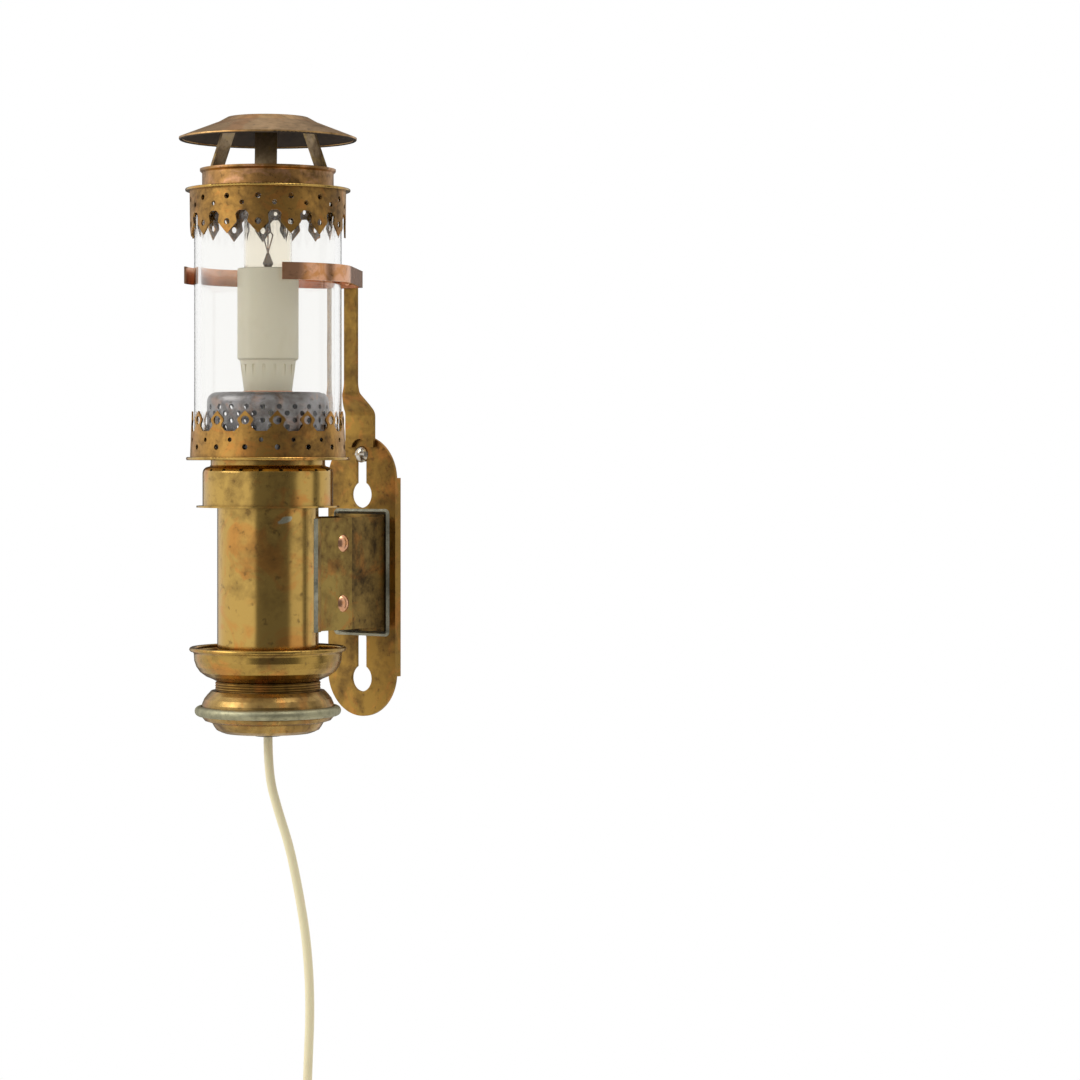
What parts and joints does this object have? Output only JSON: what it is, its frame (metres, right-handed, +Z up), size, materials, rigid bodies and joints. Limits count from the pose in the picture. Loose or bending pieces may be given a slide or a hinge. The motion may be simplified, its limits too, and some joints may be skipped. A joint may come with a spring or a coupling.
{
  "type": "railway carriage candle lamp",
  "caption": "Wall-mounted railway carriage candle lamp in aged brass with glass chimney, crest galleries, smoke cap, keyhole plate, electric bulb and flex.",
  "frame": {"origin": "on the back of the wall plate's sheet, midway between its two keyholes; the wall is 2.5 mm behind it, where the plate's returns end", "axes": "+Z up along the lamp, -Y out of the wall to the front, +X to the right seen from the front"},
  "size_m": [0.0858, 0.1101, 0.5864],
  "materials": {
    "aged_brass": "aged satin",
    "dark_brass": "dark patina",
    "coppery_brass": "warm patina",
    "copper": "satin copper",
    "solder": "dull solder",
    "verdigris_brass": "grey-green patina",
    "drum_metal": "grey-blue patina",
    "clear_glass": "clear",
    "cream_plastic": "satin",
    "bright_steel": "bright",
    "wire": "oxidised",
    "nickel": "satin",
    "cream_flex": "satin",
    "dark_rubber": "matte"
  },
  "bodies": {
    "lamp": {"back_plate": "aged_brass", "wall_channel": "dark_brass", "cheek_left": "aged_brass", "cheek_right": "aged_brass", "cheek_rivets": "copper", "solder_web": "solder", "solder_wings": "solder", "tube": "aged_brass", "neck": "dark_brass", "lower_flange": "aged_brass", "lower_crown": "coppery_brass", "drum": "drum_metal", "nipple": "bright_steel", "nipple_nut": "bright_steel", "drum_washer": "copper", "holder_base": "cream_plastic", "holder_skirt": "cream_plastic", "holder_core": "cream_plastic", "thread_shell": "nickel", "centre_contact": "nickel", "ring_clip": "copper", "arm": "aged_brass", "clip_rivet": "copper", "plate_screw": "bright_steel", "screw_nut": "bright_steel", "drip_pan": "aged_brass", "beaded_ferrule": "aged_brass", "inner_flex": "cream_flex", "cord": "cream_flex", "cord_coil": "cream_flex", "cord_tail": "cream_flex", "cord_tie": "dark_rubber", "plug_body": "cream_flex", "plug_pins": "nickel"},
    "glass": {"glass_chimney": "clear_glass"},
    "top_gallery": {"upper_flange": "aged_brass", "upper_crown": "coppery_brass", "collar": "coppery_brass", "cap": "aged_brass", "cap_stays": "dark_brass"},
    "bulb_thread": {"bulb_cap": "nickel"},
    "bulb": {"bulb_glass": "clear_glass", "bulb_stem": "clear_glass", "filament": "wire"},
    "base_thread": {"grommet": "dark_rubber"},
    "base": {"base_shoulder": "dark_brass", "base_ring": "verdigris_brass", "base_cup": "aged_brass"}
  },
  "joints": [
    {"name": "glass_lift", "type": "slide", "parent": "lamp", "child": "glass", "axis": [0, 0, 1], "range_m": [0, 0.122]},
    {"name": "top_gallery_lift", "type": "slide", "parent": "glass", "child": "top_gallery", "axis": [0, 0, 1], "range_m": [0, 0.04]},
    {"name": "bulb_rise", "type": "slide", "parent": "lamp", "child": "bulb_thread", "axis": [0, 0, 1], "range_m": [0, 0.0072]},
    {"name": "bulb_turn", "type": "hinge", "parent": "bulb_thread", "child": "bulb", "pos_m": [0, -0.0669, 0.13], "axis": [0, 0, 1], "range_deg": [0, 900]},
    {"name": "base_drop", "type": "slide", "parent": "lamp", "child": "base_thread", "axis": [0, 0, -1], "range_m": [0, 0.0061]},
    {"name": "base_turn", "type": "hinge", "parent": "base_thread", "child": "base", "pos_m": [0, -0.0669, -0.055], "axis": [0, 0, -1], "range_deg": [0, 1080]}
  ],
  "couplings": [
    {"joint": "bulb_rise", "follows": "bulb_turn", "m_per_rad": 0.00044882},
    {"joint": "base_drop", "follows": "base_turn", "m_per_rad": 0.00031831}
  ]
}
